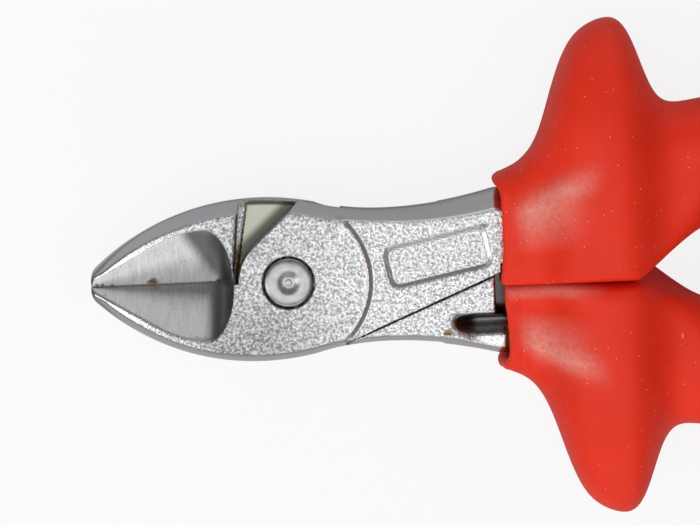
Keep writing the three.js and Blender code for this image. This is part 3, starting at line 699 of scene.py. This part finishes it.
class Finish:
    """A material with one main shader, built node by node."""

    def __init__(self, name, **constants):
        self.material = bpy.data.materials.new(name)
        self.material.use_nodes = True
        self.tree = self.material.node_tree
        self.shader = self.tree.nodes["Principled BSDF"]
        for key, value in constants.items():
            self.shader.inputs[key.replace("_", " ")].default_value = value

    def feed(self, socket, value):
        if isinstance(value, Wire):
            self.tree.links.new(value.socket, socket)
        else:
            socket.default_value = value

    def node(self, kind, settings=None, output=0, **sockets):
        made = self.tree.nodes.new("ShaderNode" + kind)
        for key, value in (settings or {}).items():
            setattr(made, key, value)
        for key, value in sockets.items():
            self.feed(made.inputs[int(key) if key.isdigit() else key.replace("_", " ")], value)
        return Wire(self, made.outputs[output])

    def field(self, name):
        return self.node("Attribute", {"attribute_name": name}, output="Fac")

    def place(self, stretch=(1, 1, 1)):
        """Position in millimetres, stretched along each axis."""
        scale = tuple(1000 * s for s in stretch)
        here = self.node("TexCoord", output="Object")
        return self.node("VectorMath", {"operation": "MULTIPLY"}, **{"0": here, "1": scale})

    def noise(self, place, scale, detail=2.0, roughness=0.5):
        sockets = {"Vector": place, "Scale": scale, "Detail": detail, "Roughness": roughness}
        return self.node("TexNoise", None, "Fac", **sockets)

    def mix(self, share, a, b):
        a, b = (colour if isinstance(colour, Wire) else (*colour, 1.0) for colour in (a, b))
        return self.node("Mix", {"data_type": "RGBA"}, 2, **{"0": share, "6": a, "7": b})

    def bump(self, height, distance, strength=1.0):
        return self.node("Bump", None, Height=height, Distance=distance, Strength=strength)

    def use(self, **inputs):
        for key, value in inputs.items():
            self.feed(self.shader.inputs[key.replace("_", " ")], value)
        return self.material


def forged_steel():
    steel = Finish("forged_steel", Metallic=1.0)
    forged, ground, polished = steel.field("forged"), steel.field("ground"), steel.field("polished")
    grime, rust = steel.field("grime"), steel.field("rust")
    shade, olive = steel.field("shade"), steel.field("olive")
    place = steel.place()
    pebble = steel.noise(place, 2.8, 3.0, 0.6)
    fleck = steel.noise(place, 6.5, 2.0, 0.6)
    streaks = steel.noise(steel.place((5.0, 0.22, 0.22)), 1.6, 4.0, 0.65)
    broad = steel.noise(steel.place((0.9, 0.25, 0.25)), 1.0, 2.0)
    lines = steel.noise(steel.place((0.15, 3.0, 3.0)), 3.0, 3.0)
    specks = steel.noise(place, 4.2, 1.0).step(0.70, 0.74) * ground
    height = forged * (pebble + fleck * 0.5) + ground * streaks * 0.10 + polished * lines * 0.05
    # Painted shade: the pebble colours are darker over the jaw root and the disc, more so towards -y.
    painted_jaw_shade = steel.field("painted_jaw_shade") * 0.56
    low = steel.mix(painted_jaw_shade, (0.43, 0.43, 0.44), (0.14, 0.14, 0.15))
    high = steel.mix(painted_jaw_shade, (0.95, 0.95, 0.96), (0.48, 0.48, 0.49))
    # The pebbles' own mottled tone, together with painted highlights and shade: lighter where the bump
    # noise raises them, darker between.
    plate = steel.mix(pebble.step(0.36, 0.62), low, high)
    plate = steel.mix(forged, (0.60, 0.60, 0.61), plate)
    # Painted highlights towards the tip and along a thin line inside the edge of the disc.
    plate = steel.mix(steel.field("painted_highlight") * 0.8, plate, (0.93, 0.93, 0.94))
    cut = steel.mix(streaks.step(0.3, 0.75), (0.50, 0.50, 0.495), (0.68, 0.68, 0.675))
    cut = steel.mix(broad.step(0.45, 0.7) * 0.35, cut, (0.74, 0.71, 0.73))
    colour = steel.mix(polished, plate, (0.62, 0.64, 0.655))
    colour = steel.mix(ground, colour, cut)
    colour = steel.mix(specks * 0.85, colour, (0.08, 0.075, 0.07))
    colour = steel.mix(olive, colour, (0.27, 0.27, 0.20))
    colour = steel.mix(shade, colour, (0.075, 0.072, 0.066))
    dirt = steel.mix(pebble.step(0.4, 0.62), (0.07, 0.05, 0.02), (0.42, 0.27, 0.07))
    colour = steel.mix(grime, colour, dirt)
    red_rust = steel.mix(fleck.step(0.4, 0.6), (0.10, 0.028, 0.016), (0.20, 0.12, 0.04))
    colour = steel.mix(rust, colour, red_rust)
    rough = 0.24 - forged * 0.05 + shade * 0.06 - polished * 0.02
    rough = rough + ground * streaks * 0.10 + grime * 0.25 + rust * 0.4
    return steel.use(
        Base_Color=colour,
        Roughness=rough,
        Metallic=1.0 - rust * 0.9 - grime * 0.4,
        Normal=steel.bump(height, 0.00013),
    )


def turned_steel():
    steel = Finish("turned_steel", Metallic=1.0)
    place = steel.place()
    radius = steel.node("VectorMath", {"operation": "LENGTH"}, "Value", **{"0": steel.place((1, 1, 0))})
    rings = (radius * 46.0).maths("SINE") * 0.5 + 0.5
    haze = steel.noise(place, 1.1, 3.0)
    colour = steel.mix(haze.step(0.3, 0.7), (0.32, 0.32, 0.325), (0.43, 0.43, 0.435))
    scratches = steel.noise(steel.place((2.5, 0.4, 1)), 2.2, 4.0)
    height = rings * 0.10 + scratches * 0.35
    return steel.use(Base_Color=colour, Roughness=0.24 + haze * 0.12, Normal=steel.bump(height, 0.00001))


def red_moulding():
    red = Finish("red_moulding", Specular_IOR_Level=0.24)
    place = red.place()
    cloud = red.noise(place, 0.16, 3.0)
    fine = red.noise(place, 7.0, 2.0, 0.6)
    soft = red.noise(place, 1.6, 2.0)
    colour = red.mix(cloud.step(0.3, 0.7), (0.91, 0.030, 0.007), (0.98, 0.035, 0.009))
    colour = red.mix(fine.step(0.35, 0.75) * 0.25, colour, (0.86, 0.055, 0.03))
    # Painted sheen, grainy, on the crests and the strip of the grips.
    painted_sheen = red.field("painted_sheen") * (soft * 0.5 + fine * 0.9).step(0.25, 0.85)
    colour = red.mix(painted_sheen, colour, (0.97, 0.36, 0.29))
    cell = {"feature": "F1"}
    dots = red.node("TexVoronoi", cell, "Distance", Vector=place, Scale=1.1)
    pick = red.node("TexVoronoi", cell, "Color", Vector=place, Scale=1.1)
    chosen = red.node("SeparateColor", None, "Red", Color=pick).step(0.50, 0.54)
    hair_place = red.place((0.9, 0.22, 0.5))
    hair = red.node("TexVoronoi", cell, "Distance", Vector=hair_place, Scale=0.62)
    hair_pick = red.node("TexVoronoi", cell, "Color", Vector=hair_place, Scale=0.62)
    hair_chosen = red.node("SeparateColor", None, "Green", Color=hair_pick).step(0.74, 0.76)
    dust = (1.0 - dots.step(0.05, 0.10)) * chosen + (1.0 - hair.step(0.03, 0.07)) * hair_chosen * 0.7
    colour = red.mix(dust.maths("MINIMUM", 1.0) * 0.7, colour, (0.85, 0.62, 0.50))
    height = fine * 0.5 + soft * 0.5
    rough = 0.40 + fine * 0.14 + dust * 0.2
    return red.use(Base_Color=colour, Roughness=rough, Normal=red.bump(height, 0.00006))


def yellow_liner():
    liner = Finish("yellow_liner", Specular_IOR_Level=0.4)
    place = liner.place()
    cloud = liner.noise(place, 0.3, 3.0)
    fine = liner.noise(place, 5.0, 2.0)
    colour = liner.mix(cloud.step(0.3, 0.7), (0.72, 0.45, 0.03), (0.82, 0.56, 0.06))
    return liner.use(Base_Color=colour, Roughness=0.5 + fine * 0.15, Normal=liner.bump(fine, 0.00003))


def pale_floor():
    """A pale floor that keeps a soft shadow and looks white behind the tool."""
    floor = Finish("pale_floor", Specular_IOR_Level=0.0, Roughness=1.0)
    seen = floor.node("LightPath", None, "Is Camera Ray")
    floor.use(Base_Color=floor.mix(seen, (0.60, 0.60, 0.605), (0.97, 0.97, 0.97)))
    glow = floor.node("Emission", None, Color=(1, 1, 1, 1), Strength=1.0)
    main = Wire(floor, floor.shader.outputs[0])
    mixed = floor.node("MixShader", None, **{"0": seen * 0.85, "1": main, "2": glow})
    floor.feed(floor.tree.nodes["Material Output"].inputs["Surface"], mixed)
    return floor.material


steel = forged_steel()
lever_piece("front_lever", "front_half", False, steel)
lever_piece("rear_lever", "rear_half", True, steel)
rivet_piece(turned_steel())
red = red_moulding()
grip_piece("upper_grip", "front_half", False, red)
grip_piece("lower_grip", "rear_half", True, red)
liner_finish = yellow_liner()
for liner_node in ("upper_liner", "lower_liner"):
    liner_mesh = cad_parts[liner_node].data
    liner_mesh.materials.clear()
    liner_mesh.materials.append(liner_finish)

# Stage: floor, lights and camera
floor_z = cad_box[0].z - 0.0001
floor_mesh = bpy.data.meshes.new("floor")
floor_reach = 1.2
floor_corners = [
    (a * floor_reach, b * floor_reach, floor_z) for a, b in ((-1, -1), (1, -1), (1, 1), (-1, 1))
]
floor_mesh.from_pydata(floor_corners, [], [(0, 1, 2, 3)])
floor_mesh.materials.append(pale_floor())
floor_object = bpy.data.objects.new("floor", floor_mesh)
bpy.context.scene.collection.objects.link(floor_object)

world = bpy.data.worlds.new("studio")
world.use_nodes = True
world.node_tree.nodes["Background"].inputs["Color"].default_value = (0.24, 0.243, 0.248, 1)
bpy.context.scene.world = world


def soft_box(name, place, aim, size, power):
    lamp = bpy.data.lights.new(name, "AREA")
    lamp.shape, lamp.size, lamp.size_y, lamp.energy = "RECTANGLE", size[0], size[1], power
    made = bpy.data.objects.new(name, lamp)
    made.location = place
    made.rotation_mode = "QUATERNION"
    made.rotation_quaternion = (Vector(aim) - Vector(place)).to_track_quat("-Z", "Y")
    bpy.context.scene.collection.objects.link(made)


soft_box("overhead", (0.0, -0.10, 0.70), (0.02, 0, 0), (0.74, 0.54), 1.88)
soft_box("front_strip", (-0.05, -0.62, 0.30), (0, 0, 0), (0.80, 0.42), 1.25)
soft_box("left_high", (-0.46, -0.16, 0.46), (0, 0, 0), (0.30, 0.30), 0.75)
soft_box("rear_fill", (0.10, 0.64, 0.17), (0.02, 0, 0), (0.80, 0.34), 0.68)

tilt, roll = math.radians(6), math.radians(2.4)
across = Vector((1, 0, 0))
upright = Vector((0, math.cos(tilt), -math.sin(tilt)))
towards = Vector((0, math.sin(tilt), math.cos(tilt)))
right = across * math.cos(roll) - upright * math.sin(roll)
up = across * math.sin(roll) + upright * math.cos(roll)
picture_width, points_per_mm, away = 700, 8.1, 0.6
right_of_pivot, above_pivot = 61.5, 20.5
to_centre = (right * right_of_pivot + up * above_pivot) * (MM / points_per_mm)
centre = Vector((0, 0, THICKNESS * MM)) + to_centre
camera = bpy.data.objects.new("camera", bpy.data.cameras.new("camera"))
camera.matrix_world = Matrix((right, up, towards)).transposed().to_4x4()
camera.location = centre + towards * away
camera.data.sensor_width = 36
camera.data.lens = camera.data.sensor_width * away / (picture_width / points_per_mm * MM)
camera.data.clip_start, camera.data.clip_end = 0.01, 10
bpy.context.scene.collection.objects.link(camera)
bpy.context.scene.camera = camera
bpy.context.scene.view_settings.view_transform = "Standard"
